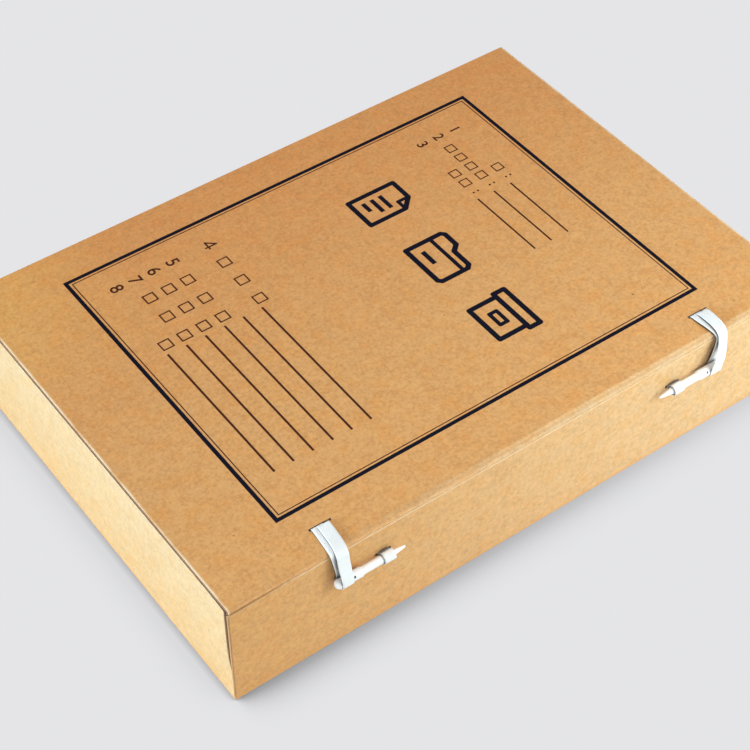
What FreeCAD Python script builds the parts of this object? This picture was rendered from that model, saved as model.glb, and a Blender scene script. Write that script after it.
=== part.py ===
import FreeCAD, Part
import math
import os
from FreeCAD import Vector

# Board archive box, closed and tied. Millimetres.
# +X runs along the long side, the spine is at +Y, the tied front is at -Y.
# The origin is the centre of the underside.

# Overall size and board
length = 310.0
width = 218.0
height = 60.0
board = 1.0
fold_r = 0.8

# Running gaps
lid_gap = 0.3
rest_gap = 0.15
soft_gap = 0.3
paste_gap = 0.02

# Derived planes
x_out = length / 2
y_out = width / 2
x_in = x_out - board
y_in = y_out - board
lid_top = height
lid_under = height - board
end_top = lid_under - rest_gap
spine_top = lid_under

# Lid hinge on the spine's upper crease
hinge_y = y_out - board / 2
hinge_z = height - board / 2

# The lid covers the walls; its front crease turns down in a short lip above the front wall
lid_inset = 0.2
lid_x = x_out - lid_inset
lid_front = -(y_out - lid_inset)
lip_drop = 1.4
lip_low = lid_under - lip_drop
lip_r = 1.3
lid_edge_r = 0.8
front_top = lip_low - rest_gap

# Outer faces of the flaps that hang from the lid inside the walls
flap_x = x_in - lid_gap
flap_front = -(y_in - lid_gap)

# Corner tabs, folded from the end walls and pasted inside the long walls
tab_len = 16.0
tab_low = 2.0
tab_below_top = 8.0
tab_high = height - tab_below_top
tab_taper = 6.0
tab_relief = 3.0

# The end walls draw away from the long walls above a third of the height,
# and the walls' top edges dip a little at the corners
corner_gap = 1.5
corner_gap_low = 1.2
corner_closed_z = height / 3
corner_open_z = corner_closed_z + 8.0
end_dip = 0.9
end_dip_run = 22.0
front_dip = 0.5
front_dip_run = 30.0

# Tuck flap along the front of the lid
tuck_short = 19.0
tuck_taper = 12.0
tuck_half = x_out - tuck_short
tuck_tip_half = tuck_half - tuck_taper
tuck_depth = 28.0
tuck_lean = 6.0

# Dust flaps at the ends of the lid
dust_short_front = 23.0
dust_short_back = 21.0
dust_taper_front = 16.0
dust_taper_back = 14.0
dust_front = -(y_out - dust_short_front)
dust_back = y_out - dust_short_back
dust_tip_front = dust_front + dust_taper_front
dust_tip_back = dust_back - dust_taper_back
dust_depth = 30.0
dust_lean = 3.0

# Tape ties: centre of each doubled tape, and of its bight round the peg
tape_w = 6.2
tape_t = 0.4
tape_shift = 2.6
tape_total = 2 * tape_t
tie_left_in = 54.0
tie_right_in = 51.5
eye_left_shift = -0.4
eye_right_shift = 3.6
tie_left_x = -(x_out - tie_left_in)
tie_right_x = x_out - tie_right_in
eye_left_x = tie_left_x + eye_left_shift
eye_right_x = tie_right_x - eye_right_shift
slot_in = 14.7
slot_y = -(y_out - slot_in)
slot_len = 11.0
slot_play = 0.3
tail_len = 16.0
bow_run = 4.0
bow_lid_right = 1.2
bow_fall_right = 1.4
patch_t = 0.3
patch_border = 3.0

# The fold of the tape over the front edge
fall_y = -(y_out + soft_gap + tape_t)
fall_z = lid_top + tape_t

# Pegs: the left one points to +X and the right one to -X
peg_out = 3.2
peg_left_drop = 17.3
peg_right_drop = 17.0
peg_left_past = 5.3
peg_right_past = 2.8
peg_y = -(y_out + peg_out)
peg_left_z = height - peg_left_drop
peg_right_z = height - peg_right_drop
peg_left_back = eye_left_x - peg_left_past
peg_right_back = eye_right_x + peg_right_past
peg_r = 2.25
peg_body_r = 1.8
peg_tip_base_r = 1.45
peg_tip_r = 0.5
peg_neck = 0.7
peg_head = 12.8
peg_shank = 15.4
peg_tip = 6.6
peg_hole_r = 0.55
peg_hole_at = 8.8
peg_hole_tilt = 35
eye_play = 0.05
eye_rise = 3.7

# Keeper loops on the front wall
keeper_left_along = 26.3
keeper_right_along = 25.3
keeper_left_x = peg_left_back + keeper_left_along
keeper_right_x = peg_right_back - keeper_right_along
keeper_w = 5.8
keeper_inner_r = peg_body_r + 0.35
keeper_tail = 7.0
keeper_slot_play = 0.2
keeper_slot_over = 1.1
keeper_pinch = 0.3
keeper_wrap = 33


def box(x0, x1, y0, y1, z0, z1):
    return Part.makeBox(x1 - x0, y1 - y0, z1 - z0, Vector(x0, y0, z0))


def prism_x(points, x0, x1):
    """Extrude a closed outline given as (y, z) from x0 to x1."""
    ring = [Vector(x0, y, z) for y, z in points]
    face = Part.Face(Part.makePolygon(ring + [ring[0]]))
    return face.extrude(Vector(x1 - x0, 0, 0))


def prism_y(points, y0, y1):
    """Extrude a closed outline given as (x, z) from y0 to y1."""
    ring = [Vector(x, y0, z) for x, z in points]
    face = Part.Face(Part.makePolygon(ring + [ring[0]]))
    return face.extrude(Vector(0, y1 - y0, 0))


def rod_x(radius, x0, x1, y, z):
    return Part.makeCylinder(radius, x1 - x0, Vector(x0, y, z), Vector(1, 0, 0))


def near(value, target):
    return abs(value - target) < 1e-6


def edges_at(shape, test):
    """Straight edges whose two ends both pass the test."""
    found = []
    for edge in shape.Edges:
        if len(edge.Vertexes) == 2 and all(test(v.Point) for v in edge.Vertexes):
            found.append(edge)
    return found


def mirror_x(shape):
    return shape.mirror(Vector(0, 0, 0), Vector(1, 0, 0))


def strip(points, thick):
    """Outline of a band of one thickness along an open line of (y, z) points."""
    left = []
    right = []
    for i, (y, z) in enumerate(points):
        before = points[max(i - 1, 0)]
        after = points[min(i + 1, len(points) - 1)]
        dy = after[0] - before[0]
        dz = after[1] - before[1]
        size = math.hypot(dy, dz)
        ny = -dz / size * thick / 2
        nz = dy / size * thick / 2
        left.append((y + ny, z + nz))
        right.append((y - ny, z - nz))
    return left + right[::-1]


def bottom_panel():
    shape = box(-x_out, x_out, -y_out, y_out, 0, board)
    low = edges_at(shape, lambda p: near(p.z, 0))
    return shape.makeFillet(fold_r, low)


def spine_panel():
    return box(-x_out, x_out, y_in, y_out, board, spine_top)


def keeper_slot(x, z):
    """The slot that both layers of the keeper tape pass through."""
    half = keeper_w / 2 + keeper_slot_over
    tall = keeper_pinch + tape_t / 2 + keeper_slot_play
    return box(x - half, x + half, -y_out - 1, -y_in + 1, z - tall, z + tall)


def front_wall():
    outline = [
        (-x_out, board),
        (-x_out, front_top - front_dip),
        (-x_out + front_dip_run, front_top),
        (x_out - front_dip_run, front_top),
        (x_out, front_top - front_dip),
        (x_out, board),
    ]
    shape = prism_y(outline, -y_out, -y_in)
    for x, z in ((keeper_left_x, peg_left_z), (keeper_right_x, peg_right_z)):
        shape = shape.cut(keeper_slot(x, z))
    return shape


def left_end_wall():
    """End wall whose upright edges draw away from the long walls towards the top."""
    outline = [
        (-y_in, board),
        (-y_in, corner_closed_z),
        (-y_in + corner_gap_low, corner_open_z),
        (-y_in + corner_gap, end_top - end_dip),
        (-y_in + end_dip_run, end_top),
        (y_in - end_dip_run, end_top),
        (y_in - corner_gap, end_top - end_dip),
        (y_in - corner_gap_low, corner_open_z),
        (y_in, corner_closed_z),
        (y_in, board),
    ]
    shape = prism_x(outline, -x_out, -x_in)
    leaning = edges_at(
        shape,
        lambda p: near(p.x, -x_out) and abs(p.y) > y_in - corner_gap - 0.01 and p.z > corner_open_z - 0.01,
    )
    return shape.makeFillet(fold_r * 0.6, leaning)


def corner_tab(side):
    """Left-hand tab, inside the front wall (side -1) or the spine (side 1)."""
    outline = [
        (-x_in, tab_low),
        (-x_in + tab_len, tab_low + tab_taper),
        (-x_in + tab_len, tab_high - tab_taper),
        (-x_in + tab_relief, tab_high),
        (-x_in + tab_relief, corner_open_z),
        (-x_in, corner_closed_z),
    ]
    if side < 0:
        return prism_y(outline, -y_in, -y_in + board)
    return prism_y(outline, y_in - board, y_in)


def lid_slot(x):
    half = slot_len / 2
    wide = tape_total / 2 + slot_play
    return box(x - half, x + half, slot_y - wide, slot_y + wide, lid_under - 1, lid_top + 1)


def lid_panel():
    """Lid with a rear edge that turns on the spine's crease and a lip at its front crease."""
    plate = box(-lid_x, lid_x, lid_front, hinge_y, lid_under, lid_top)
    lip = box(-lid_x, lid_x, lid_front, lid_front + board, lip_low, lid_top)
    plate = plate.fuse(lip).removeSplitter()
    front = edges_at(plate, lambda p: near(p.z, lid_top) and near(p.y, lid_front))
    plate = plate.makeFillet(lip_r, front)
    sides = [
        e
        for e in plate.Edges
        if len(e.Vertexes) == 2
        and all(near(v.Z, lid_top) for v in e.Vertexes)
        and all(near(abs(v.X), lid_x) for v in e.Vertexes)
        and abs(e.Vertexes[0].Y - e.Vertexes[1].Y) > 1
    ]
    plate = plate.makeFillet(lid_edge_r, sides)
    nose = rod_x(board / 2, -lid_x + board, lid_x - board, hinge_y, hinge_z)
    shape = plate.fuse(nose)
    for x in (tie_left_x, tie_right_x):
        shape = shape.cut(lid_slot(x))
    return shape.removeSplitter()


def front_tuck_flap():
    """Flap hanging from the lid's front crease, leaning into the box."""
    outline = [
        (-tuck_half, lid_under),
        (-tuck_tip_half, lid_under - tuck_depth),
        (tuck_tip_half, lid_under - tuck_depth),
        (tuck_half, lid_under),
    ]
    shape = prism_y(outline, flap_front, flap_front + board)
    low = edges_at(shape, lambda p: near(p.z, lid_under - tuck_depth) and near(p.y, flap_front))
    shape = shape.makeFillet(board / 2, low)
    shape.rotate(Vector(0, flap_front + board, lid_under), Vector(1, 0, 0), tuck_lean)
    return shape


def left_dust_flap():
    """Flap hanging from the lid's left crease, leaning into the box."""
    outline = [
        (dust_front, lid_under),
        (dust_tip_front, lid_under - dust_depth),
        (dust_tip_back, lid_under - dust_depth),
        (dust_back, lid_under),
    ]
    shape = prism_x(outline, -flap_x, -flap_x + board)
    shape.rotate(Vector(-flap_x + board, 0, lid_under), Vector(0, 1, 0), -dust_lean)
    return shape


def lid_tape_line(bow):
    """Middle of the doubled tape from its slot to the lid's front edge."""
    end = fall_y + tape_total / 2 + soft_gap
    z = lid_top + tape_t + paste_gap
    middle = (slot_y + end) / 2
    return [
        (slot_y, z),
        (slot_y - bow_run, z + bow * 0.6),
        (middle, z + bow),
        (end + bow_run, z + bow * 0.7),
        (end, z),
    ]


def lid_tape(x, bow):
    """Tape pasted below the lid, up through the slot and forward to the edge."""
    shape = None
    for side in (-1, 1):
        line = []
        for y, z in lid_tape_line(bow):
            line.append((y, z + side * tape_t / 2))
        x0 = x + side * tape_shift / 2 - tape_w / 2
        layer = prism_x(strip(line, tape_t), x0, x0 + tape_w)
        shape = layer if shape is None else shape.fuse(layer)
    x0 = x - (tape_w + tape_shift) / 2
    x1 = x + (tape_w + tape_shift) / 2
    low = lid_under - tape_total - paste_gap
    half = tape_total / 2
    top = lid_top + tape_t + paste_gap
    shape = shape.fuse(box(x0, x1, slot_y - half, slot_y + half, low, top))
    tail = box(x0, x1, slot_y - half, slot_y + tail_len, low, low + tape_total)
    return shape.fuse(tail).removeSplitter()


def tail_patch(x):
    """Paper pasted over the tape's tail under the lid: a raised middle in a flat border."""
    x0 = x - (tape_w + tape_shift) / 2 - paste_gap
    x1 = x + (tape_w + tape_shift) / 2 + paste_gap
    y0 = slot_y - tape_total / 2 - slot_play
    y1 = slot_y + tail_len + paste_gap
    low = lid_under - tape_total - 2 * paste_gap
    wall = patch_t
    edge = patch_border
    raised = box(x0 - wall, x1 + wall, y0 - wall, y1 + wall, low - patch_t, lid_under)
    border = box(
        x0 - wall - edge, x1 + wall + edge, y0 - wall - edge, y1 + wall + edge,
        lid_under - patch_t, lid_under,
    )
    pocket = box(x0, x1, y0, y1, low, lid_under + 1)
    return raised.fuse(border).cut(pocket).removeSplitter()


def fall_lines(peg_z, bow):
    """Middles of the inner and outer tape layers, from the fold down to the peg."""
    low = peg_z + eye_rise
    reach = peg_r + eye_play + tape_t / 2
    inner_y = peg_y + reach
    outer_y = peg_y - reach
    inner = []
    outer = []
    for i in range(7):
        t = i / 6.0
        out = bow * math.sin(math.pi * t)
        z = fall_z + (low - fall_z) * t
        inner.append((fall_y + tape_t / 2 + (inner_y - fall_y - tape_t / 2) * t - out * 0.7, z))
        outer.append((fall_y - tape_t / 2 + (outer_y - fall_y + tape_t / 2) * t - out, z))
    return inner, outer


def tape_fall(x, peg_z, bow):
    """The two hanging layers, joined at the rounded fold that they turn on."""
    shape = rod_x(
        tape_total / 2,
        x - (tape_w + tape_shift) / 2,
        x + (tape_w + tape_shift) / 2,
        fall_y,
        fall_z,
    )
    for line, side in zip(fall_lines(peg_z, bow), (-1, 1)):
        x0 = x + side * tape_shift / 2 - tape_w / 2
        shape = shape.fuse(prism_x(strip(line, tape_t), x0, x0 + tape_w))
    return shape.removeSplitter()


def tape_eye(x, peg_z):
    """The bight of the tape under the peg's head, open at the top."""
    inner_r = peg_r + eye_play
    outer_r = inner_r + tape_t
    x0 = x - tape_w / 2
    x1 = x + tape_w / 2
    top = peg_z + eye_rise - soft_gap
    ring = rod_x(outer_r, x0, x1, peg_y, peg_z)
    arms = box(x0, x1, peg_y - outer_r, peg_y + outer_r, peg_z, top)
    bore = rod_x(inner_r, x0 - 1, x1 + 1, peg_y, peg_z)
    gap = box(x0 - 1, x1 + 1, peg_y - inner_r, peg_y + inner_r, peg_z, top + 1)
    return ring.fuse(arms).cut(bore).cut(gap).removeSplitter()


def peg(back, peg_z):
    """Left-hand peg: blunt end at -X, shouldered shank and tapered tip at +X."""
    head = back + peg_r
    shoulder = back + peg_head
    neck = shoulder + peg_neck
    shank = shoulder + peg_shank
    tip = shank + peg_tip
    along = Vector(1, 0, 0)
    shape = Part.makeSphere(peg_r, Vector(head, peg_y, peg_z))
    shape = shape.fuse(rod_x(peg_r, head, shoulder, peg_y, peg_z))
    start = Vector(shoulder, peg_y, peg_z)
    shape = shape.fuse(Part.makeCone(peg_r, peg_body_r, peg_neck, start, along))
    shape = shape.fuse(rod_x(peg_body_r, neck, shank, peg_y, peg_z))
    start = Vector(shank, peg_y, peg_z)
    shape = shape.fuse(Part.makeCone(peg_tip_base_r, peg_tip_r, peg_tip, start, along))
    shape = shape.fuse(Part.makeSphere(peg_tip_r, Vector(tip, peg_y, peg_z)))
    lean = math.radians(peg_hole_tilt)
    aim = Vector(0, math.cos(lean), -math.sin(lean))
    start = Vector(back + peg_hole_at, peg_y, peg_z) - aim * (2 * peg_r)
    hole = Part.makeCylinder(peg_hole_r, 4 * peg_r, start, aim)
    return shape.cut(hole).removeSplitter()


def keeper_line(z):
    """Middle of the keeper tape as (y, z): out of the slot, round the peg and back in."""
    reach = keeper_inner_r + tape_t / 2
    points = [(-y_in, z + keeper_pinch), (-y_out - soft_gap * 2, z + keeper_pinch)]
    for i in range(19):
        turn = math.radians(keeper_wrap + (360 - 2 * keeper_wrap) * i / 18.0)
        points.append((peg_y + reach * math.cos(turn), z + reach * math.sin(turn)))
    return points + [(-y_out - soft_gap * 2, z - keeper_pinch), (-y_in, z - keeper_pinch)]


def keeper_loop(x, z):
    """Band round the peg's shank, pinched at its slot, with its two tails flat inside."""
    x0 = x - keeper_w / 2
    x1 = x + keeper_w / 2
    shape = prism_x(strip(keeper_line(z), tape_t), x0, x1)
    back = -y_in
    face = back + paste_gap
    low = keeper_pinch - tape_t / 2
    high = keeper_pinch + tape_t / 2
    far = keeper_inner_r + tape_t + keeper_tail
    for side in (-1, 1):
        ends = sorted((z + side * low, z + side * far))
        tail = box(x0, x1, face, face + tape_t, ends[0], ends[1])
        ends = sorted((z + side * low, z + side * high))
        root = box(x0, x1, back - 0.1, face + tape_t, ends[0], ends[1])
        shape = shape.fuse(tail).fuse(root)
    return shape.removeSplitter()


def keeper_patch(x, z):
    """Paper pasted over the keeper's tails inside the front wall."""
    half = keeper_w / 2 + paste_gap
    tall = keeper_inner_r + tape_t + keeper_tail + paste_gap
    face = -y_in
    deep = face + tape_t + 2 * paste_gap
    edge = patch_border
    wall = patch_t
    raised = box(
        x - half - wall, x + half + wall, face, deep + patch_t, z - tall - wall, z + tall + wall
    )
    border = box(
        x - half - wall - edge, x + half + wall + edge, face, face + patch_t,
        z - tall - wall - edge, z + tall + wall + edge,
    )
    pocket = box(x - half, x + half, face - 1, deep, z - tall, z + tall)
    return raised.fuse(border).cut(pocket).removeSplitter()


def build():
    left_end = left_end_wall()
    front_tab = corner_tab(-1)
    rear_tab = corner_tab(1)
    left_dust = left_dust_flap()
    return {
        "bottom_panel": bottom_panel(),
        "spine_panel": spine_panel(),
        "front_wall": front_wall(),
        "left_end_wall": left_end,
        "right_end_wall": mirror_x(left_end),
        "front_left_corner_tab": front_tab,
        "front_right_corner_tab": mirror_x(front_tab),
        "rear_left_corner_tab": rear_tab,
        "rear_right_corner_tab": mirror_x(rear_tab),
        "left_keeper_loop": keeper_loop(keeper_left_x, peg_left_z),
        "right_keeper_loop": keeper_loop(keeper_right_x, peg_right_z),
        "left_keeper_patch": keeper_patch(keeper_left_x, peg_left_z),
        "right_keeper_patch": keeper_patch(keeper_right_x, peg_right_z),
        "lid_panel": lid_panel(),
        "front_tuck_flap": front_tuck_flap(),
        "left_dust_flap": left_dust,
        "right_dust_flap": mirror_x(left_dust),
        "left_lid_tape": lid_tape(tie_left_x, 0.0),
        "right_lid_tape": lid_tape(tie_right_x, bow_lid_right),
        "left_tail_patch": tail_patch(tie_left_x),
        "right_tail_patch": tail_patch(tie_right_x),
        "left_tape_fall": tape_fall(tie_left_x, peg_left_z, 0.0),
        "right_tape_fall": tape_fall(tie_right_x, peg_right_z, bow_fall_right),
        "left_tape_eye": tape_eye(eye_left_x, peg_left_z),
        "right_tape_eye": tape_eye(eye_right_x, peg_right_z),
        "left_peg": peg(peg_left_back, peg_left_z),
        "right_peg": mirror_x(peg(-peg_right_back, peg_right_z)),
    }


os.makedirs("parts", exist_ok=True)
for name, solid in build().items():
    if len(solid.Solids) != 1 or not solid.isValid():
        raise ValueError(name + " is not one valid solid")
    solid.Solids[0].exportStep("parts/" + name + ".step")
    low = solid.BoundBox
    print(name, round(low.XMin, 2), round(low.XMax, 2), round(low.YMin, 2), round(low.YMax, 2),
          round(low.ZMin, 2), round(low.ZMax, 2), round(solid.Volume, 2))
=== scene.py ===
import bpy
import bmesh
import math
from mathutils import Matrix, Vector


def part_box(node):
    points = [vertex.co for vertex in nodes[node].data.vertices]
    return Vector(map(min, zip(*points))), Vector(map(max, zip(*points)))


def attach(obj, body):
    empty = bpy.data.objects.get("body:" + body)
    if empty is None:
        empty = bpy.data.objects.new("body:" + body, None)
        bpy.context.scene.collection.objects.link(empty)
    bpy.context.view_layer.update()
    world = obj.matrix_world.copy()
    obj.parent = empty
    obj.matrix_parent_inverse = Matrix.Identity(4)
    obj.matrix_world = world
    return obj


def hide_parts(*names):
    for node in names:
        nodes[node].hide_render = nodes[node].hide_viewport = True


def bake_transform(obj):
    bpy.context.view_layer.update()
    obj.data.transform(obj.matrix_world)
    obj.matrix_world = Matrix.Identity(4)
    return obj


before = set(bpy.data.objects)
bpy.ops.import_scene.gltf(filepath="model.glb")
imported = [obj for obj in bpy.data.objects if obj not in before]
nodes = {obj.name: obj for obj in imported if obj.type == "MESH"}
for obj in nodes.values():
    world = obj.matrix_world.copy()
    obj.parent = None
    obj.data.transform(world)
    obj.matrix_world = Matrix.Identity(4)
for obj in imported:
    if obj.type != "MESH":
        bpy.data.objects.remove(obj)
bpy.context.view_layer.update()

# Shapes are written in millimetres, materials, lamps and the camera in metres
MM = 0.001


def corners(node):
    """A solid's lowest and highest corners in millimetres."""
    return [tuple(round(c / MM, 3) for c in corner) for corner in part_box(node)]


def middle(node):
    """The middle of a solid's box in millimetres."""
    low, high = corners(node)
    return [(a + b) / 2 for a, b in zip(low, high)]


# Sizes and places of the solids that the scene's own pieces sit on
FRONT = corners("front_wall")[0][1]
HALF_LENGTH, WALL_IN, FRONT_TOP = corners("front_wall")[1]
TOP = corners("lid_panel")[1][2]
PEG_Y = middle("left_peg")[1]
PEG_Z = {side: middle(side + "_peg")[2] for side in ("left", "right")}
PEG_R = corners("left_peg")[1][2] - PEG_Z["left"]


class Shader:
    """The node tree of a material or of the world, and the kinds of node that this scene uses."""

    def __init__(self, owner):
        self.owner = owner
        owner.use_nodes = True
        self.tree = owner.node_tree
        self.tree.nodes.clear()

    def feed(self, socket, value):
        """Link another node's output, or set a number, a vector or a colour."""
        if isinstance(value, bpy.types.NodeSocket):
            self.tree.links.new(value, socket)
        elif socket.type == "RGBA":
            socket.default_value = (*value, 1.0)
        else:
            socket.default_value = value

    def node(self, kind, inputs=None, **settings):
        made = self.tree.nodes.new(kind)
        for key, value in settings.items():
            setattr(made, key, value)
        for key, value in (inputs or {}).items():
            self.feed(made.inputs[key], value)
        return made

    def place(self):
        return self.node("ShaderNodeTexCoord").outputs["Object"]

    def axes(self, vector):
        split = self.node("ShaderNodeSeparateXYZ", {0: vector})
        return split.outputs[0], split.outputs[1], split.outputs[2]

    def math(self, operation, a, b=None, clamp=False):
        inputs = {0: a} if b is None else {0: a, 1: b}
        return self.node("ShaderNodeMath", inputs, operation=operation, use_clamp=clamp).outputs[0]

    def total(self, *parts):
        run = parts[0]
        for part in parts[1:]:
            run = self.math("ADD", run, part)
        return run

    def product(self, *parts):
        run = parts[0]
        for part in parts[1:]:
            run = self.math("MULTIPLY", run, part)
        return run

    def vector(self, operation, a, b):
        return self.node("ShaderNodeVectorMath", {0: a, 1: b}, operation=operation).outputs[0]

    def noise(self, vector, scale, detail=2.0, rough=0.5, distortion=0.0):
        inputs = {"Vector": vector, "Scale": scale, "Detail": detail, "Roughness": rough}
        inputs["Distortion"] = distortion
        return self.node("ShaderNodeTexNoise", inputs).outputs[0]

    def ramp(self, value, lo, hi, start=0.0, end=1.0):
        """From start at lo to end at hi, and level beyond them."""
        return self.node("ShaderNodeMapRange", {0: value, 1: lo, 2: hi, 3: start, 4: end}).outputs[0]

    def about(self, value, centre, full, none, most):
        """Most within the distance full of the centre, and nothing beyond the distance none."""
        off = self.math("ABSOLUTE", self.math("SUBTRACT", value, centre))
        return self.ramp(off, full, none, most, 0.0)

    def mix(self, share, a, b, blend="MIX"):
        inputs = {0: share, 6: a, 7: b}
        return self.node("ShaderNodeMix", inputs, data_type="RGBA", blend_type=blend).outputs[2]

    def times(self, colour, tint):
        return self.mix(1.0, colour, tint, "MULTIPLY")

    def fade(self, colour, along, lo, hi, tint_lo, tint_hi):
        """A tint that changes slowly from one at lo to another at hi."""
        return self.times(colour, self.mix(self.ramp(along, lo, hi), tint_lo, tint_hi))

    def edge(self, radius):
        """Where a face turns a sharp corner within the radius."""
        bevel = self.node("ShaderNodeBevel", {"Radius": radius}, samples=6)
        normal = self.node("ShaderNodeNewGeometry").outputs["Normal"]
        dot = self.node("ShaderNodeVectorMath", {0: bevel.outputs[0], 1: normal}, operation="DOT_PRODUCT")
        return self.ramp(dot.outputs["Value"], 0.985, 0.82)

    def closed_in(self, distance, samples):
        """The share of the sky that is hidden by what lies within the distance."""
        sky = self.node("ShaderNodeAmbientOcclusion", {"Distance": distance}, samples=samples)
        return self.math("SUBTRACT", 1.0, sky.outputs["AO"])

    def crevice(self, distance, lo, hi):
        """Corners and slits, from lo to hi of the hidden share."""
        return self.ramp(self.closed_in(distance, 8), lo, hi)

    def bump(self, height, strength, distance):
        inputs = {"Strength": strength, "Distance": distance, "Height": height}
        return self.node("ShaderNodeBump", inputs).outputs[0]

    def surface(self, colour, rough, specular, normal, sheen=0.0, sheen_tint=None):
        """Close the material with its one surface layer."""
        inputs = {"Base Color": colour, "Roughness": rough, "Specular IOR Level": specular}
        inputs["Normal"] = normal
        if sheen:
            inputs["Sheen Weight"] = sheen
            inputs["Sheen Roughness"] = 0.5
        if sheen_tint:
            inputs["Sheen Tint"] = sheen_tint
        layer = self.node("ShaderNodeBsdfPrincipled", inputs)
        self.node("ShaderNodeOutputMaterial", {0: layer.outputs[0]})
        return self.owner

    def to_camera(self, unseen, seen):
        """One shader for the camera's own rays and another for all that light the object."""
        camera_ray = self.node("ShaderNodeLightPath").outputs["Is Camera Ray"]
        inputs = {0: camera_ray, 1: unseen.outputs[0], 2: seen.outputs[0]}
        return self.node("ShaderNodeMixShader", inputs).outputs[0]


def new_shader(name):
    return Shader(bpy.data.materials.new(name))


def tinted(colour, red, green, blue):
    return (colour[0] * red, colour[1] * green, colour[2] * blue)


# Board: colours, and shades as factors of the board's own colour
KRAFT = (0.675, 0.318, 0.087)
PATCH_PAPER = (0.69, 0.40, 0.165)
BARE_FIBRE = (0.84, 0.60, 0.34)
# Worn fibres, and the painted highlight along creases
FIBRE_WEAR_AND_HIGHLIGHT = (0.90, 0.68, 0.42)
SPECK = (0.24, 0.080, 0.018)
BOARD_SHEEN = (1.0, 0.80, 0.58)
DARK = (0.84, 0.775, 0.68)
PALE = (1.16, 1.25, 1.42)
FOOT = (1.03, 0.93, 0.72)
# Painted shade for corners and slits
PAINTED_SHADE_TINT = (0.20, 0.125, 0.08)


def pulp(s, place, base):
    """Cloudy pulp with fine mottle and faint fibres: its colour, clouds, tone and relief."""
    cloud = s.noise(place, 70.0)
    tone = s.noise(place, 230.0, 4.0, 0.74)
    hue = s.noise(s.vector("ADD", place, (1.3, 0.7, 2.1)), 130.0, 1.0)
    mottle = s.noise(place, 620.0, 2.0, 0.65)
    grain = s.noise(place, 1500.0, 2.0, 0.6)
    fibre = s.noise(s.vector("MULTIPLY", place, (420, 1500, 900)), 1.0, 2.0, 0.6, 0.6)
    colour = s.mix(s.ramp(tone, 0.30, 0.70), tinted(base, *DARK), tinted(base, *PALE))
    for pattern, lo, hi, most, shade in (
        (hue, 0.51, 0.70, 0.85, (1.04, 0.935, 0.72)),
        (hue, 0.49, 0.30, 0.85, (0.98, 1.06, 1.26)),
        (cloud, 0.30, 0.70, 0.30, PALE),
        (mottle, 0.48, 0.26, 0.80, (0.80, 0.74, 0.64)),
        (mottle, 0.52, 0.74, 0.80, (1.17, 1.25, 1.42)),
        (grain, 0.46, 0.26, 0.45, (0.82, 0.76, 0.65)),
        (grain, 0.54, 0.74, 0.42, (1.14, 1.20, 1.33)),
        (fibre, 0.62, 0.78, 0.30, (0.82, 0.76, 0.66)),
    ):
        colour = s.mix(s.ramp(pattern, lo, hi, 0.0, most), colour, tinted(base, *shade))
    relief = s.total(s.product(tone, 0.7), s.product(fibre, 0.25), s.product(grain, 0.35))
    return colour, cloud, tone, relief


def specked(s, place, cloud, colour):
    """A rare dark speck, where the clouds are thick."""
    spot = s.ramp(s.noise(place, 300.0, 0.0), 0.866, 0.882, 0.0, 0.85)
    return s.mix(s.product(spot, s.ramp(cloud, 0.60, 0.63)), colour, SPECK)


def rubbed(s, tone, colour, *shares):
    """Bare fibres along sharp edges, by the product of the shares."""
    rub = s.product(s.edge(0.0006), s.ramp(tone, 0.34, 0.60, 0.35, 1.0), *shares)
    return s.mix(rub, colour, BARE_FIBRE)


def creased(s, along, cloud, colour, lo, hi, most):
    """Loosened fibres and a painted highlight on a fold, from lo to hi on both sides of the middle."""
    worn = s.ramp(s.math("ABSOLUTE", along), lo, hi, 0.0, most)
    return s.mix(s.product(worn, s.ramp(cloud, 0.36, 0.56, 0.25, 1.0)), colour, FIBRE_WEAR_AND_HIGHLIGHT)


def grimy(s, height, base, colour, close, slits):
    """A more orange foot, and painted shade in corners and slits."""
    colour = s.mix(s.ramp(height, 0.0, 0.0032, 0.85, 0.0), colour, tinted(base, *FOOT))
    # Painted shade where the sky is closed in, none at the foot
    painted_shade = s.product(s.crevice(*close), s.ramp(height, 0.002, 0.006, 0.0, 0.96))
    for slit in slits:
        painted_shade = s.math("MAXIMUM", painted_shade, slit)
    return s.mix(painted_shade, colour, tinted(base, *PAINTED_SHADE_TINT))


def kraft(name, base=KRAFT, specks=True, wear=0.55, close=(0.002, 0.30, 0.70),
          tint=None, wears=None, crease=None, slits=None):
    """Unbleached board with pale worn edges and painted shade in its corners.

    close says how deep and how sharp the painted shade in corners is. tint, wears and slits are functions
    that give one piece its painted light and shade, the share of its edges that wears and the painted
    shade in its slits. crease is an axis, two distances along it and how much is worn and painted light
    there."""
    s = new_shader(name)
    place = s.place()
    at = s.axes(place)
    colour, cloud, tone, relief = pulp(s, place, base)
    if tint:
        colour = tint(s, at, base, colour)
    if specks:
        colour = specked(s, place, cloud, colour)
    shares = (wear, wears(s, at)) if wears else (wear,)
    colour = rubbed(s, tone, colour, *shares)
    if crease:
        axis, lo, hi, most = crease
        colour = creased(s, at[axis], cloud, colour, lo, hi, most)
    colour = grimy(s, at[2], base, colour, close, slits(s, at) if slits else ())
    rough = s.ramp(tone, 0.3, 0.7, 0.70, 0.56)
    return s.surface(colour, rough, 0.5, s.bump(relief, 0.25, 0.00006), 0.45, BOARD_SHEEN)


# The outermost parts of the two ends by their distance from the middle, and how dark the painted shade in
# a slit gets
END_FACE = (0.15442, 0.15454, 0.0, 0.9)


def slit_under_lid(s, at, span):
    """The shade under the lid's edge on the two ends, over a span of heights."""
    return s.product(s.ramp(s.math("ABSOLUTE", at[0]), *END_FACE), s.ramp(at[2], *span))


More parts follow.
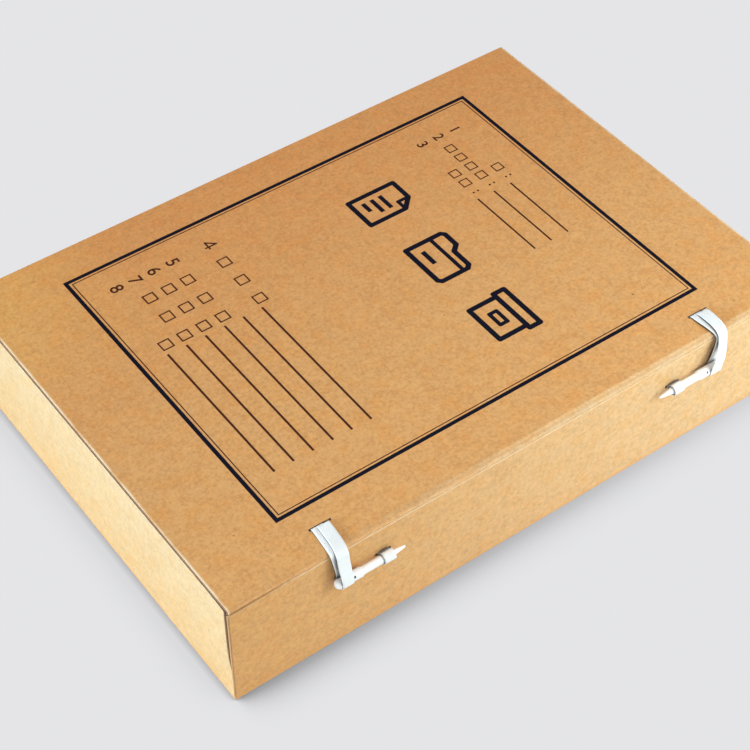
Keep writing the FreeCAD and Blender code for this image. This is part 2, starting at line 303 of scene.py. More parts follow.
# A painted gradient is the place where it starts, the place where it ends and the tints of both.
# The lid has painted shade to the back, lessened by painted light in its left corner there.
LID_PAINTED_SHADE = (-0.03, 0.105, (1.035, 1.01, 1.04), (1.025, 0.82, 0.62))
LID_LEFT = (-0.155, -0.085, 1.0, 0.0)
LID_BACK = (0.02, 0.10)
LID_CORNER_PAINTED_LIGHT = (1.13, 1.39, 1.36)
LID_CREASE = (0, 0.1533, 0.1542, 0.9)
LID_SLIT = (0.05980, 0.05996, 1.0, 0.0)
# Its front lip starts in y, has a score line darkened as painted shade and a band of painted highlight,
# and is paler at its foot with painted light
LIP_START = (-0.1054, -0.1066)
LIP_PAINTED_LIGHT = (-0.13, 0.03, (0.98, 1.00, 1.00), (0.92, 1.22, 1.95))
LIP_SCORE = (-0.1081, 0.0002, 0.0006, 0.30)
LIP_SCORE_SHADE = (0.70, 0.64, 0.90)
LIP_BAND = (-0.1070, 0.0005, 0.0012, 1.0)
LIP_BAND_RIGHT = (-0.06, 0.01)
LIP_HIGHLIGHT_TINT = (1.27, 1.22, 1.12)
LIP_FOOT = (0.0585, 0.0592, 1.0, 0.0)
LIP_FOOT_RIGHT = (-0.13, -0.09, 0.2, 1.0)
LIP_FOOT_HIGHLIGHT = (1.17, 1.20, 1.20)


def lid_tint(s, at, base, colour):
    """Painted shade darker to the back, with a front lip that painted light turns pale to the right."""
    x, y, z = at
    colour = s.fade(colour, y, *LID_PAINTED_SHADE)
    corner = s.product(s.ramp(x, *LID_LEFT), s.ramp(y, *LID_BACK))
    colour = s.mix(corner, colour, s.times(colour, LID_CORNER_PAINTED_LIGHT))
    lip = s.fade(colour, x, *LIP_PAINTED_LIGHT)
    lip = s.mix(s.about(y, *LIP_SCORE), lip, tinted(base, *LIP_SCORE_SHADE))
    foot = s.product(s.ramp(z, *LIP_FOOT), s.ramp(x, *LIP_FOOT_RIGHT))
    lip = s.mix(foot, lip, s.times(lip, LIP_FOOT_HIGHLIGHT))
    colour = s.mix(s.ramp(y, *LIP_START), colour, lip)
    band = s.product(s.about(y, *LIP_BAND), s.ramp(x, *LIP_BAND_RIGHT))
    return s.mix(band, colour, s.times(colour, LIP_HIGHLIGHT_TINT))


def lid_slits(s, at):
    return (slit_under_lid(s, at, LID_SLIT),)


# Painted light pales the front wall to the right, and painted shade darkens it round its left corner,
# which is not rubbed
FRONT_PAINTED_LIGHT = (-0.15, 0.09, (0.98, 0.92, 0.68), (1.02, 1.26, 1.86))
FRONT_TURN = (-0.1541, -0.1546)
FRONT_TURN_SHADE = (0.60, 0.55, 0.64)
FRONT_CREASE = (2, 0.0566, 0.0573, 0.8)


def front_tint(s, at, base, colour):
    colour = s.fade(colour, at[0], *FRONT_PAINTED_LIGHT)
    return s.mix(s.ramp(at[0], *FRONT_TURN), colour, s.times(colour, FRONT_TURN_SHADE))


def front_wears(s, at):
    return s.ramp(at[0], *FRONT_TURN, 1.0, 0.0)


# Painted light pales the end walls, more so to the top; painted shade darkens their rim under the lid and
# the open gaps beside the upper part of their corners
END_PAINTED_LIGHT = (0.008, 0.055, (0.89, 1.09, 1.48), (0.89, 1.19, 1.98))
END_SLIT = (0.05845, 0.05865)
GAP_SIDE = (0.10585, 0.10605, 0.0, 0.9)
GAP_OPENS = (0.021, 0.036)


def end_tint(s, at, base, colour):
    return s.fade(colour, at[2], *END_PAINTED_LIGHT)


def end_slits(s, at):
    gap = s.product(s.ramp(s.math("ABSOLUTE", at[1]), *GAP_SIDE), s.ramp(at[2], *GAP_OPENS))
    return slit_under_lid(s, at, END_SLIT), gap


def ink(name, colour, cover):
    """Printing ink, a little thin on the board's grain."""
    s = new_shader(name)
    place = s.place()
    grain = s.noise(place, 1300.0, 2.0, 0.6)
    cloud = s.noise(place, 240.0, 2.0, 0.6)
    mixed = s.mix(s.ramp(grain, 0.60, 0.85, 0.0, 1.0 - cover), colour, KRAFT)
    mixed = s.mix(s.ramp(cloud, 0.35, 0.70, 0.0, 0.25), mixed, tinted(colour, 1.7, 1.7, 1.7))
    return s.surface(mixed, 0.60, 0.16, s.bump(grain, 0.2, 0.00004))


# The weave's waves: across, along and on the slant, by their pitch in millimetres and their depth
WARP = (0.42, 0.45)
WEFT = (0.55, 0.35)
TWILL = (0.9, 0.35)


def cotton(name):
    """White cotton tape: a twill of fine ribs and fuzz, on UVs in millimetres."""
    s = new_shader(name)
    u, v, _ = s.axes(s.node("ShaderNodeUVMap", uv_map="mm").outputs[0])
    slant = s.total(u, s.product(v, 0.8))
    waves = []
    for along, (pitch, depth) in ((u, WARP), (v, WEFT), (slant, TWILL)):
        wave = s.math("SINE", s.product(along, 2 * math.pi / pitch))
        waves.append(s.product(wave, depth))
    fuzz = s.noise(s.place(), 2400.0, 3.0, 0.7)
    relief = s.total(*waves, s.product(fuzz, 1.2))
    colour = s.mix(s.ramp(relief, -0.6, 1.6), (0.83, 0.81, 0.79), (0.96, 0.94, 0.92))
    shaded = s.product(s.crevice(0.0045, 0.22, 0.62), 0.92)
    colour = s.mix(shaded, colour, (0.15, 0.145, 0.125))
    return s.surface(colour, 0.85, 0.2, s.bump(relief, 0.45, 0.00012), 0.25)


def plastic(name):
    """White moulded plastic, satin, with shade in its steps."""
    s = new_shader(name)
    place = s.place()
    cloud = s.noise(place, 320.0)
    colour = s.mix(s.ramp(cloud, 0.35, 0.7), (0.89, 0.875, 0.87), (0.945, 0.93, 0.925))
    shaded = s.product(s.crevice(0.0012, 0.12, 0.45), 0.8)
    colour = s.mix(shaded, colour, (0.30, 0.29, 0.27))
    normal = s.bump(s.noise(place, 900.0), 0.12, 0.00006)
    return s.surface(colour, s.ramp(cloud, 0.3, 0.7, 0.28, 0.42), 0.5, normal)


# A fold's pairs of colours, a painted highlight and a painted shade, each from its core to its frayed
# parts
FOLD_HIGHLIGHT = ((0.76, 0.47, 0.235), (0.86, 0.59, 0.36))
FOLD_SHADE = ((0.53, 0.255, 0.088), (0.43, 0.190, 0.058))


def fold(name, lo, hi, light=1.0):
    """Board along a fold, a little rubbed on its sharp edges: brown painted shade to the left of lo, a
    pale painted highlight to the right of hi.
    """
    s = new_shader(name)
    place = s.place()
    fray = s.noise(s.vector("MULTIPLY", place, (260, 900, 900)), 1.0, 3.0, 0.6)
    grain = s.noise(place, 900.0, 2.0, 0.6)
    frayed = s.ramp(fray, 0.35, 0.62)
    pale = s.mix(frayed, *FOLD_HIGHLIGHT)
    brown = s.mix(frayed, *[tinted(colour, light, light, light) for colour in FOLD_SHADE])
    ragged = s.product(s.math("SUBTRACT", fray, 0.5), 0.02)
    colour = s.mix(s.ramp(s.total(s.axes(place)[0], ragged), lo, hi), brown, pale)
    colour = s.mix(s.product(s.edge(0.0002), 0.15 * light), colour, FIBRE_WEAR_AND_HIGHLIGHT)
    rough = s.ramp(grain, 0.3, 0.7, 0.92, 0.80)
    return s.surface(colour, rough, 0.15, s.bump(grain, 0.3, 0.00006))


board = kraft("kraft_board_mat")
lid_board = kraft("kraft_lid_mat", close=(0.0015, 0.30, 0.65), tint=lid_tint,
                  crease=LID_CREASE, slits=lid_slits)
front_board = kraft("kraft_front_mat", close=(0.0020, 0.50, 0.60), tint=front_tint,
                    wears=front_wears, crease=FRONT_CREASE)
end_board = kraft("kraft_end_mat", close=(0.0035, 0.30, 0.60), tint=end_tint, slits=end_slits)
patch_paper = kraft("kraft_paper_mat", PATCH_PAPER, specks=False, wear=0.3)
navy = ink("ink_navy_mat", (0.0022, 0.0026, 0.0115), 0.95)
brown_ink = ink("ink_brown_mat", (0.070, 0.018, 0.008), 0.80)
tape_cotton = cotton("cotton_tape_mat")
peg_plastic = plastic("peg_plastic_mat")
crease_light_and_shade = fold("crease_light_and_shade_mat", -0.137, -0.120)
# Both ends of this one lie beyond the box, so that all of it is brown painted shade
gap_shade_fold = fold("gap_shade_mat", 1.0, 2.0, 0.20)


def material_of(name):
    """What a solid of the box is made of."""
    if name.endswith("_patch"):
        return patch_paper
    if name.endswith("_peg"):
        return peg_plastic
    if "tape" in name or "loop" in name:
        return tape_cotton
    if name.endswith("_end_wall"):
        return end_board
    return {"front_wall": front_board, "lid_panel": lid_board}.get(name, board)


for node_name, solid in nodes.items():
    solid.data.materials.clear()
    solid.data.materials.append(material_of(node_name))


def add_object(name, mesh, material, body=None):
    made = bpy.data.objects.new(name, mesh)
    bpy.context.scene.collection.objects.link(made)
    made.data.materials.append(material)
    if body:
        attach(made, body)
    return made


def mesh_from(name, verts, faces, smooth=False):
    """A mesh from points in millimetres, with its faces turned outward."""
    mesh = bpy.data.meshes.new(name)
    mesh.from_pydata([tuple(c * MM for c in v) for v in verts], [], faces)
    mesh.update()
    work = bmesh.new()
    work.from_mesh(mesh)
    bmesh.ops.recalc_face_normals(work, faces=work.faces)
    work.to_mesh(mesh)
    work.free()
    for face in mesh.polygons:
        face.use_smooth = smooth
    return mesh


def skin(name, rings):
    """A closed smooth skin over rings of equally many points, capped at both ends."""
    count = len(rings[0])
    last = len(rings) - 1
    faces = []
    for i in range(last):
        for j in range(count):
            k = (j + 1) % count
            faces.append([i * count + j, i * count + k, (i + 1) * count + k, (i + 1) * count + j])
    faces.append(list(range(count))[::-1])
    faces.append([last * count + j for j in range(count)])
    return mesh_from(name, [point for ring in rings for point in ring], faces, True)


# Print on the lid
INK_LOW = TOP + 0.004
INK_TOP = TOP + 0.03
INK_STEP = 0.0006
INK_STEPS = 40
DOT_SIDES = 18


class Print:
    """Collects flat printed shapes as one thin mesh lying on the lid."""

    def __init__(self):
        self.verts = []
        self.faces = []
        self.count = 0

    def poly(self, points):
        """A thin plate, a hair higher than the one before, so that tops which cross don't coincide."""
        low = len(self.verts)
        n = len(points)
        high = low + n
        top = INK_TOP + INK_STEP * (self.count % INK_STEPS)
        self.count += 1
        for z in (INK_LOW, top):
            for x, y in points:
                self.verts.append((x, y, z))
        self.faces.append([low + i for i in range(n)][::-1])
        self.faces.append([high + i for i in range(n)])
        for i in range(n):
            j = (i + 1) % n
            self.faces.append([low + i, low + j, high + j, high + i])

    def line(self, a, b, width):
        (x0, y0), (x1, y1) = a, b
        length = math.hypot(x1 - x0, y1 - y0)
        dx = -(y1 - y0) / length / 2 * width
        dy = (x1 - x0) / length / 2 * width
        self.poly([(x0 + dx, y0 + dy), (x0 - dx, y0 - dy), (x1 - dx, y1 - dy), (x1 + dx, y1 + dy)])

    def dot(self, centre, radius):
        x, y = centre
        turns = [2 * math.pi * i / DOT_SIDES for i in range(DOT_SIDES)]
        self.poly([(x + radius * math.cos(turn), y + radius * math.sin(turn)) for turn in turns])

    def path(self, points, width, closed=False):
        """A stroke with rounded joints and ends."""
        points = list(points) + ([points[0]] if closed else [])
        for a, b in zip(points, points[1:]):
            self.line(a, b, width)
        for point in points:
            self.dot(point, width / 2)

    def bar(self, x0, x1, y0, y1):
        self.poly([(x0, y0), (x1, y0), (x1, y1), (x0, y1)])

    def rect_ring(self, x0, x1, y0, y1, width):
        h = width / 2
        self.bar(x0 - h, x1 + h, y1 - h, y1 + h)
        self.bar(x0 - h, x1 + h, y0 - h, y0 + h)
        self.bar(x0 - h, x0 + h, y0 + h, y1 - h)
        self.bar(x1 - h, x1 + h, y0 + h, y1 - h)

    def done(self, name, material):
        return add_object(name, mesh_from(name, self.verts, self.faces), material, "lid")


def on_page(cx, cy):
    """Page coordinates: u runs along the reading direction and v up the page."""
    return lambda u, v: (cx + v, cy - u)


# The frame's two lines: least and greatest x and y of their middles, and their width
OUTER_FRAME = (-113.8, 113.0, -82.3, 87.85, 1.9)
INNER_FRAME = (-111.55, 110.8, -80.2, 85.75, 0.5)
# Ruled lines by their x, and the open squares before them by their y
HIGH_LINES = ((91.6, (36.0,)), (81.7, (60.0, 52.0, 44.0, 36.0)), (72.0, (44.0, 36.0)))
LOW_LINES = (
    (-50.6, (57.5, 43.0, 28.5)),
    (-60.6, ()),
    (-70.4, (57.5, 43.0, 28.5)),
    (-80.4, (57.5, 43.0, 28.5)),
    (-90.3, (57.5, 43.0, 28.5)),
    (-100.0, (28.5,)),
)
# Where the lines start and end in y, and their width
HIGH_SPAN = (23.3, -19.3, 0.9)
LOW_SPAN = (23.0, -60.2, 1.05)
# An open square's middle above its line, its size and the width of its strokes
HIGH_CELL = (2.4, 4.6, 0.6)
LOW_CELL = (2.6, 5.2, 0.7)
# A colon's y, its two dots above the line and their radius
COLON_Y = 28.0
COLON_RISES = (1.2, 3.8)
COLON_R = 0.55
# A line number's foot above its line, its y and its size
HIGH_NUMBER = (0.3, 70.5, 8.0)
LOW_NUMBER = (0.2, 71.5, 9.0)
# The title's place holds three plain signs in a row along the reading direction
SIGN_X = 33.5
SHEET_Y = 47.5
FOLDER_Y = 1.5
BOX_Y = -44.5


def print_frame():
    for name, sides, colour in (("outer", OUTER_FRAME, navy), ("inner", INNER_FRAME, brown_ink)):
        sheet = Print()
        sheet.rect_ring(*sides)
        sheet.done("print_frame_" + name, colour)


def print_rules():
    rules = Print()
    for lines, (start, end, width) in ((HIGH_LINES, HIGH_SPAN), (LOW_LINES, LOW_SPAN)):
        for x, _ in lines:
            rules.line((x, start), (x, end), width)
    rules.done("print_rules", brown_ink)


def print_sheet():
    """A sheet of paper with a turned corner and three lines."""
    at = on_page(SIGN_X, SHEET_Y)
    sign = Print()
    sign.path([at(-9, -13), at(-9, 13), at(3.5, 13), at(9.5, 7), at(9.5, -13)], 2.5, True)
    sign.path([at(3.5, 13), at(3.5, 7), at(9.5, 7)], 1.9)
    for v, end in ((2.2, 5.0), (-2.6, 5.0), (-7.4, 1.5)):
        sign.line(at(-5, v), at(end, v), 2.2)
    sign.done("print_sign_sheet", navy)


def print_folder():
    """A folder with its tab to the left and a label."""
    at = on_page(SIGN_X, FOLDER_Y)
    upper = [at(-13, 9.5), at(-11.5, 11), at(-3, 11), at(0.2, 7.4), at(11, 7.4), at(12.8, 5.6)]
    sign = Print()
    sign.path([at(-13, -10.5)] + upper + [at(12.8, -9), at(11.3, -10.5)], 2.6, True)
    sign.line(at(-13, 3.2), at(12.8, 3.2), 2.0)
    sign.line(at(-8, -4.6), at(1.5, -4.6), 2.4)
    sign.done("print_sign_folder", navy)


def print_box():
    """A box with a lid and a label."""
    at = on_page(SIGN_X, BOX_Y)
    sign = Print()
    sign.path([at(-13, 4.2), at(-13, 10.2), at(13, 10.2), at(13, 4.2)], 2.6, True)
    sign.path([at(-11, 4.2), at(-11, -11), at(11, -11), at(11, 4.2)], 2.6)
    sign.path([at(-4, -1.2), at(4, -1.2), at(4, -5.2), at(-4, -5.2)], 2.0, True)
    sign.done("print_sign_box", navy)


def cell(sheet, x, y, rise, size, width):
    """One open square of the form, standing on its line."""
    h = size / 2
    out = h + width / 2
    at = on_page(x + rise, y)
    for v in (-h, h):
        sheet.line(at(-out, v), at(out, v), width)
    for u in (-h, h):
        sheet.line(at(u, -h), at(u, h), width)


def print_cells():
    """The form's open squares, and the colons before the upper lines."""
    cells = Print()
    for x, ys in LOW_LINES:
        for y in ys:
            cell(cells, x, y, *LOW_CELL)
    for x, ys in HIGH_LINES:
        for y in ys:
            cell(cells, x, y, *HIGH_CELL)
        for rise in COLON_RISES:
            cells.dot((x + rise, COLON_Y), COLON_R)
    cells.done("print_form_cells", brown_ink)


def digit(number, line_x, rise, y, size):
    """A plain line number."""
    name = "print_number_%d" % number
    curve = bpy.data.curves.new(name, "FONT")
    curve.body = str(number)
    curve.size = size * MM
    curve.align_x = "CENTER"
    curve.extrude = 0.013 * MM
    curve.offset = 0.09 * MM
    text = bpy.data.objects.new(name, curve)
    bpy.context.scene.collection.objects.link(text)
    shown = text.evaluated_get(bpy.context.evaluated_depsgraph_get())
    mesh = bpy.data.meshes.new_from_object(shown)
    onto_lid = Matrix.Translation(((line_x + rise) * MM, y * MM, (INK_LOW + 0.013) * MM))
    mesh.transform(onto_lid @ Matrix.Rotation(-math.pi / 2, 4, "Z"))
    bpy.data.objects.remove(text)
    mesh.materials.clear()
    return add_object(name, mesh, brown_ink, "lid")


def print_numbers():
    """Numbers 1 to 3 and 5 to 8 in a plain face, and a 4 drawn by strokes."""
    for number, (x, _) in enumerate(HIGH_LINES, 1):
        digit(number, x, *HIGH_NUMBER)
    for number, (x, _) in enumerate(LOW_LINES[2:], 5):
        digit(number, x, *LOW_NUMBER)
    rise, y, _ = LOW_NUMBER
    at = on_page(LOW_LINES[0][0] + rise, y)
    four = Print()
    four.path([at(1.2, 0.4), at(1.2, 6.1), at(-2.3, 1.9), at(2.5, 1.9)], 0.85)
    four.done("print_number_4", brown_ink)


print_frame()
print_rules()
print_sheet()
print_folder()
print_box()
print_cells()
print_numbers()


# What shows of the folds along the front wall, in painted shade and painted highlight
FOLD_END_X = HALF_LENGTH - 0.7
RECESS_FOOT = 19.6
RECESS_HEIGHT = 37.5
RECESS_STEPS = 24
RECESS_INSETS = (0.28, 0.20, 0.26)
GAP_FOOT = 18.5
GAP_WIDENS = 9.5
GAP_DEPTH = 1.42
STRIP_STEPS = 140


def corner_recess(side):
    """What shows in the gap beside a front corner: the folded end of the front wall, coloured dark as
    painted shade.
    """
    way = -1 if side == "left" else 1
    outer = [HALF_LENGTH - inset for inset in RECESS_INSETS]
    rings = []
    for i in range(RECESS_STEPS + 1):
        z = RECESS_FOOT + RECESS_HEIGHT * i / RECESS_STEPS
        y0 = WALL_IN - 0.05
        y1 = WALL_IN + GAP_DEPTH * min(1.0, (z - GAP_FOOT) / GAP_WIDENS)
        outline = [*zip(outer, (y0, (y0 + y1) / 2, y1)), (FOLD_END_X, y1), (FOLD_END_X, y0)]
        rings.append([(way * x, y, z) for x, y in outline])
    name = side + "_corner_recess"
    return add_object(name, skin(name, rings), gap_shade_fold, "tray")


def crease_burr():
    """A thin raised strip on the front wall's upper edge where the board was creased: pale as a painted
    highlight, brown to the left as painted shade of the gap under the lid.
    """
    rings = []
    for i in range(STRIP_STEPS + 1):
        x = FOLD_END_X * (2 * i / STRIP_STEPS - 1)
        wave = 0.5 + 0.25 * math.sin(x * 0.21) + 0.25 * math.sin(x * 0.077 + 1.0)
        right = min(1.0, max(0.0, (x + 140.0) / 20.0))
        top = FRONT_TOP + 0.67 - 0.22 * right + 0.06 * wave
        low = FRONT_TOP + 0.03 - 0.52 * right - 0.08 * wave
        outline = ((0.07, low), (-0.05, low + 0.05), (-0.07, FRONT_TOP + 0.05), (-0.02, top - 0.05),
                   (0.07, top), (0.14, top - 0.04), (0.14, low + 0.04))
        rings.append([(x, FRONT + dy, z) for dy, z in outline])
    name = "front_crease_burr"
    return add_object(name, skin(name, rings), crease_light_and_shade, "tray")


corner_recess("left")
corner_recess("right")
crease_burr()


# Tape ties: thickness, soft selvedge, ribs, and how far the underside's UVs lie from the upper side's
TAPE_T = 0.42
SELVEDGE = 0.14
SELVEDGE_OUT = 0.02
RIB = 0.03
RIBS = 8
UNDERSIDE_UV = 20
BIGHT_STEPS = 22
BIGHT_R = PEG_R + TAPE_T / 2 + 0.05


def between(a, b, c, d, t):
    """Catmull-Rom value between b and c."""
    square = 2 * a - 5 * b + 4 * c - d
    cube = 3 * b - a - 3 * c + d
    return 0.5 * (2 * b + (c - a) * t + square * t * t + cube * t ** 3)


def smooth_path(points, per=8):
    """A smooth line through the points, all their numbers alike."""
    out = []
    held = [points[0]] + list(points) + [points[-1]]
    for four in zip(held, held[1:], held[2:], held[3:]):
        for step in range(per):
            out.append(tuple(between(*values, step / per) for values in zip(*four)))
    out.append(tuple(points[-1]))
    return out


def cross_section(width, thick):
    """Outline of the tape as pairs across and above its middle: ribbed sides and soft selvedges."""
    half = width / 2
    flat = half - SELVEDGE
    upper = [(-flat + 2 * flat * k / RIBS, thick / 2 + RIB * (-1) ** k) for k in range(RIBS + 1)]
    lower = [(q, -h) for q, h in reversed(upper)]
    return [(-half - SELVEDGE_OUT, 0.0)] + upper + [(half + SELVEDGE_OUT, 0.0)] + lower


def ribbon_mesh(name, points, thick=TAPE_T):
    """A band of tape along points (x, y, z, width), its width along X."""
    last = len(points) - 1
    rings = []
    uvs = []
    run = 0.0
    for i, point in enumerate(points):
        ahead = Vector(points[min(i + 1, last)][:3]) - Vector(points[max(i - 1, 0)][:3])
        ahead.normalize()
        across = Vector((1, 0, 0))
        across = (across - ahead * across.dot(ahead)).normalized()
        outward = across.cross(ahead).normalized()
        centre = Vector(point[:3])
        if i:
            run += (centre - Vector(points[i - 1][:3])).length
        ring = cross_section(point[3], thick)
        rings.append([tuple(centre + across * q + outward * h) for q, h in ring])
        uvs += [(q + (UNDERSIDE_UV if h < 0 else 0), run) for q, h in ring]
    mesh = skin(name, rings)
    layer = mesh.uv_layers.new(name="mm")
    for loop in mesh.loops:
        layer.data[loop.index].uv = uvs[loop.vertex_index]
    return mesh


def bight(peg_z, front, back):
    """Half turn under the peg, from the front layer's end to the back layer's end."""
    out = []
    for i in range(1, BIGHT_STEPS):
        t = i / BIGHT_STEPS
        turn = math.pi * t
        share = t * t * (3 - 2 * t)
        x = front[0] + (back[0] - front[0]) * share
        width = front[3] + (back[3] - front[3]) * share
        out.append((x, PEG_Y - BIGHT_R * math.cos(turn), peg_z - BIGHT_R * math.sin(turn), width))
    return out


def tie(side, over_upper, over_lower, fall_upper, fall_lower):
    """Two layers of one tape: up through the slot, over the edge, and round the peg."""
    peg_z = PEG_Z[side]
    for tag, points in (("upper", over_upper), ("lower", over_lower)):
        name = side + "_tape_" + tag
        layer = add_object(name, ribbon_mesh(name, smooth_path(points)), tape_cotton, None)
        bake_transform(layer)
        if tag == "upper":
            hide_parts(side + "_lid_tape")
    turn = bight(peg_z, fall_upper[-1], fall_lower[-1])
    line = smooth_path(fall_upper) + turn + smooth_path(fall_lower)[::-1]
    name = side + "_tape_fall_loop"
    fall = add_object(name, ribbon_mesh(name, line), tape_cotton, None)
    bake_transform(fall)
    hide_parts(side + "_tape_fall", side + "_tape_eye")


# Heights of the lower layer on the lid, and of the upper one on each side
LOWER = TOP + TAPE_T / 2 + 0.04
UPPER_LEFT = LOWER + TAPE_T + 0.05
UPPER_RIGHT = LOWER + TAPE_T + 0.12
# Where the layers rise through the slot, one behind the other
SLOT_Y = FRONT + 14.7
RISE_UPPER = SLOT_Y - 0.5
RISE_LOWER = SLOT_Y + 0.1
UNDER_SLOT = TOP - 2.4
# Where the parts on the lid end and the falls begin
JOIN_Z = TOP - 3.0
LEFT_JOIN_UPPER = (-102.1, -112.0, JOIN_Z, 5.9)
LEFT_JOIN_LOWER = (-103.7, -110.5, JOIN_Z, 5.7)
RIGHT_JOIN_UPPER = (102.1, -112.8, JOIN_Z, 5.0)
RIGHT_JOIN_LOWER = (102.95, -110.75, JOIN_Z, 5.5)

tie(
    "left",
    [(-100.1, RISE_UPPER + 0.05, UNDER_SLOT, 5.9), (-100.1, RISE_UPPER, 59.4, 5.9),
     (-100.15, -95.5, UPPER_LEFT + 0.05, 5.9), (-100.4, -99.0, UPPER_LEFT + 0.02, 5.9),
     (-101.0, -104.5, UPPER_LEFT + 0.1, 5.8), (-101.7, -108.8, UPPER_LEFT + 0.1, 5.8),
     (-102.1, -110.8, UPPER_LEFT - 0.7, 5.9), (-102.15, -111.8, 58.4, 5.9), LEFT_JOIN_UPPER],
    [(-102.6, RISE_LOWER + 0.05, UNDER_SLOT, 5.7), (-102.6, RISE_LOWER, 59.2, 5.7),
     (-102.7, -94.95, LOWER + 0.03, 5.7), (-103.0, -99.0, LOWER, 5.7),
     (-103.6, -104.5, LOWER, 5.7), (-104.1, -108.6, LOWER + 0.04, 5.7),
     (-104.15, -109.9, LOWER - 0.6, 5.7), (-104.0, -110.4, 58.4, 5.7), LEFT_JOIN_LOWER],
    [LEFT_JOIN_UPPER, (-102.0, -112.35, 54.0, 5.9), (-101.85, -113.2, 50.0, 5.8),
     (-101.7, -114.3, 46.0, 5.6), (-101.6, PEG_Y - BIGHT_R, PEG_Z["left"], 5.5)],
    [LEFT_JOIN_LOWER, (-102.9, -110.45, 53.0, 5.7), (-102.15, -110.3, 49.0, 5.7),
     (-101.6, -109.95, 45.6, 5.6), (-101.5, PEG_Y + BIGHT_R, PEG_Z["left"], 5.5)],
)
tie(
    "right",
    [(104.9, RISE_UPPER + 0.05, UNDER_SLOT, 6.0), (104.9, RISE_UPPER, 59.4, 6.0),
     (104.9, -95.6, UPPER_RIGHT + 0.15, 6.0), (104.75, -99.0, UPPER_RIGHT + 0.85, 5.9),
     (104.3, -104.0, UPPER_RIGHT + 1.35, 5.7), (103.6, -108.3, UPPER_RIGHT + 1.3, 5.4),
     (103.0, -110.9, UPPER_RIGHT + 0.2, 5.1), (102.5, -112.1, 58.9, 5.0), RIGHT_JOIN_UPPER],
    [(101.8, RISE_LOWER + 0.05, UNDER_SLOT, 5.8), (101.8, RISE_LOWER, 59.2, 5.8),
     (101.85, -95.0, LOWER + 0.1, 5.8), (102.0, -98.8, LOWER + 0.5, 5.8),
     (102.25, -103.6, LOWER + 0.85, 5.7), (102.5, -107.6, LOWER + 0.8, 5.6),
     (102.8, -109.9, LOWER - 0.1, 5.5), (103.0, -110.65, 58.6, 5.5), RIGHT_JOIN_LOWER],
    [RIGHT_JOIN_UPPER, (101.15, -113.9, 53.5, 5.3), (100.0, -114.75, 49.8, 5.8),
     (99.0, -114.85, 46.2, 6.2), (98.5, PEG_Y - BIGHT_R, PEG_Z["right"], 6.3)],
    [RIGHT_JOIN_LOWER, (102.45, -110.6, 53.5, 5.5), (101.8, -110.35, 49.4, 5.5),
     (101.15, -109.95, 45.8, 5.5), (100.4, PEG_Y + BIGHT_R, PEG_Z["right"], 5.6)],
)

# Keeper bands and their tails inside the wall
KEEPER_R = 2.35
KEEPER_W = 5.6
KEEPER_T = 0.36
KEEPER_PINCH = 0.3
KEEPER_WRAP = 33
KEEPER_STEPS = 26
TAIL_W = 5.5
TAIL_T = 0.34
TAIL_Y = WALL_IN + 0.22
TAIL_END = 9.4


def keeper(side):
    """A band round the peg's shank, pinched where its two layers enter the wall's slot."""
    x = middle(side + "_keeper_loop")[0]
    peg_z = PEG_Z[side]
    pinched = [(WALL_IN + 0.1, KEEPER_PINCH), (FRONT + 0.1, KEEPER_PINCH),
               (FRONT - 0.55, KEEPER_PINCH + 0.06)]
    line = [(x, y, peg_z + z, KEEPER_W) for y, z in pinched]
    for i in range(KEEPER_STEPS + 1):
        turn = math.radians(KEEPER_WRAP + (360 - 2 * KEEPER_WRAP) * i / KEEPER_STEPS)
        line.append((x, PEG_Y + KEEPER_R * math.cos(turn), peg_z + KEEPER_R * math.sin(turn), KEEPER_W))
    line += [(x, y, peg_z - z, KEEPER_W) for y, z in reversed(pinched)]
    name = side + "_keeper_band"
    mesh = ribbon_mesh(name, smooth_path(line, 2), KEEPER_T)
    band = add_object(name, mesh, tape_cotton, "tray")
    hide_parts(side + "_keeper_loop")
    for way, tag in ((-1, "low"), (1, "high")):
        tail = [(x, TAIL_Y - 0.08, peg_z + way * 0.32, TAIL_W), (x, TAIL_Y, peg_z + way * 1.4, TAIL_W),
                (x, TAIL_Y, peg_z + way * TAIL_END, TAIL_W)]
        name = side + "_keeper_tail_" + tag
        add_object(name, ribbon_mesh(name, smooth_path(tail, 4), TAIL_T), tape_cotton, "tray")


keeper("left")
keeper("right")


# Floor and light
BACKGROUND = (0.7835, 0.7835, 0.799)
AMBIENT = 0.22
FLOOR_HALF = 6000
FLOOR_Z = -0.05
# The contact shade: its reach and most, its strength along the front and its strength on the left
SHADE_REACH = 0.032
SHADE_MOST = 0.115
FRONT_SHADE = (5.57, 1.29)
LEFT_SHADE = 1.48
LEFT_CORNER = (-0.160, -0.152)
# Name, place, target, size, power and colour of each lamp
LAMPS = (
    ("key_left", (-1.20, 0.12, 0.26), (-0.155, 0.0, 0.03), (0.8, 0.4), 18.5, (0.80, 1.02, 1.18)),
    ("near_front", (0.34, -0.55, 0.50), (0.05, -0.05, 0.03), (0.35, 0.35), 1.6, (0.92, 1.0, 1.0)),
    ("top_soft", (0.0, -0.30, 1.50), (0.0, 0.0, 0.05), (1.2, 1.2), 7.5, (1.0, 1.0, 1.0)),
    ("low_right", (0.32, -0.46, 0.24), (0.06, -0.10, 0.03), (0.40, 0.30), 1.85, (0.84, 1.01, 1.05)),
)


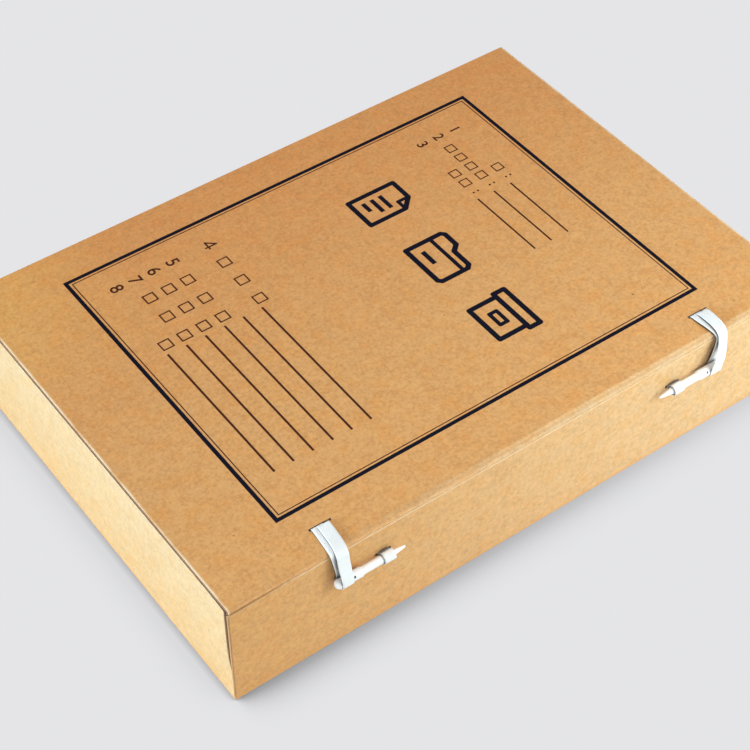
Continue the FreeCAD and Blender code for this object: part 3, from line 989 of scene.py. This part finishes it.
def floor_material():
    """To the camera an even pale backdrop with the box's contact shade, to the box a white floor."""
    s = new_shader("floor_mat")
    x = s.axes(s.place())[0]
    half = HALF_LENGTH * MM
    shade = s.math("POWER", s.closed_in(SHADE_REACH, 32), 3.0)
    shade = s.math("MINIMUM", shade, SHADE_MOST)
    front = s.product(s.ramp(x, -half, half, *FRONT_SHADE), s.ramp(x, *LEFT_CORNER))
    strength = s.math("MAXIMUM", front, s.ramp(x, *LEFT_CORNER, LEFT_SHADE, 0.0))
    shade = s.math("MULTIPLY", shade, strength, True)
    seen = s.node("ShaderNodeEmission", {0: s.mix(shade, BACKGROUND, (0.0, 0.0, 0.0))})
    lit = s.node("ShaderNodeBsdfDiffuse", {0: (0.8, 0.8, 0.8)})
    s.node("ShaderNodeOutputMaterial", {0: s.to_camera(lit, seen)})
    return s.owner


def add_floor():
    signs = [(-1, -1), (1, -1), (1, 1), (-1, 1)]
    verts = [(x * FLOOR_HALF, y * FLOOR_HALF, FLOOR_Z) for x, y in signs]
    floor = add_object("floor", mesh_from("floor", verts, [[0, 1, 2, 3]]), floor_material())


def set_world():
    world = bpy.data.worlds.new("world")
    bpy.context.scene.world = world
    s = Shader(world)
    ambient = s.node("ShaderNodeBackground", {0: (1.0, 0.99, 0.98), 1: AMBIENT})
    backdrop = s.node("ShaderNodeBackground", {0: BACKGROUND, 1: 1.0})
    s.node("ShaderNodeOutputWorld", {0: s.to_camera(ambient, backdrop)})


def add_lamp(name, place, target, size, power, colour):
    lamp = bpy.data.lights.new(name, "AREA")
    lamp.shape = "RECTANGLE"
    lamp.size, lamp.size_y = size
    lamp.energy = power
    lamp.color = colour
    holder = bpy.data.objects.new(name, lamp)
    bpy.context.scene.collection.objects.link(holder)
    holder.location = place
    holder.rotation_euler = (Vector(target) - Vector(place)).to_track_quat("-Z", "Y").to_euler()


# Camera, as fitted to the photograph's straight edges
CAMERA_RIGHT = (0.80875, -0.58815, -0.00399)
CAMERA_UP = (0.42916, 0.58547, 0.68778)
CAMERA_BACK = (-0.40218, -0.55795, 0.7259)
CAMERA_PLACE = (-0.370801, -0.505676, 0.666610)
SENSOR = 36.0
LENS = 93.0
SHIFT = (0.0026, -0.0014)


def add_camera():
    camera = bpy.data.cameras.new("camera")
    camera.sensor_width = SENSOR
    camera.lens = LENS
    camera.shift_x, camera.shift_y = SHIFT
    holder = bpy.data.objects.new("camera", camera)
    bpy.context.scene.collection.objects.link(holder)
    turned = Matrix((CAMERA_RIGHT, CAMERA_UP, CAMERA_BACK)).transposed().to_4x4()
    holder.matrix_world = Matrix.Translation(CAMERA_PLACE) @ turned
    bpy.context.scene.camera = holder


add_floor()
set_world()
for lamp_row in LAMPS:
    add_lamp(*lamp_row)
add_camera()
bpy.context.scene.view_settings.view_transform = "Standard"
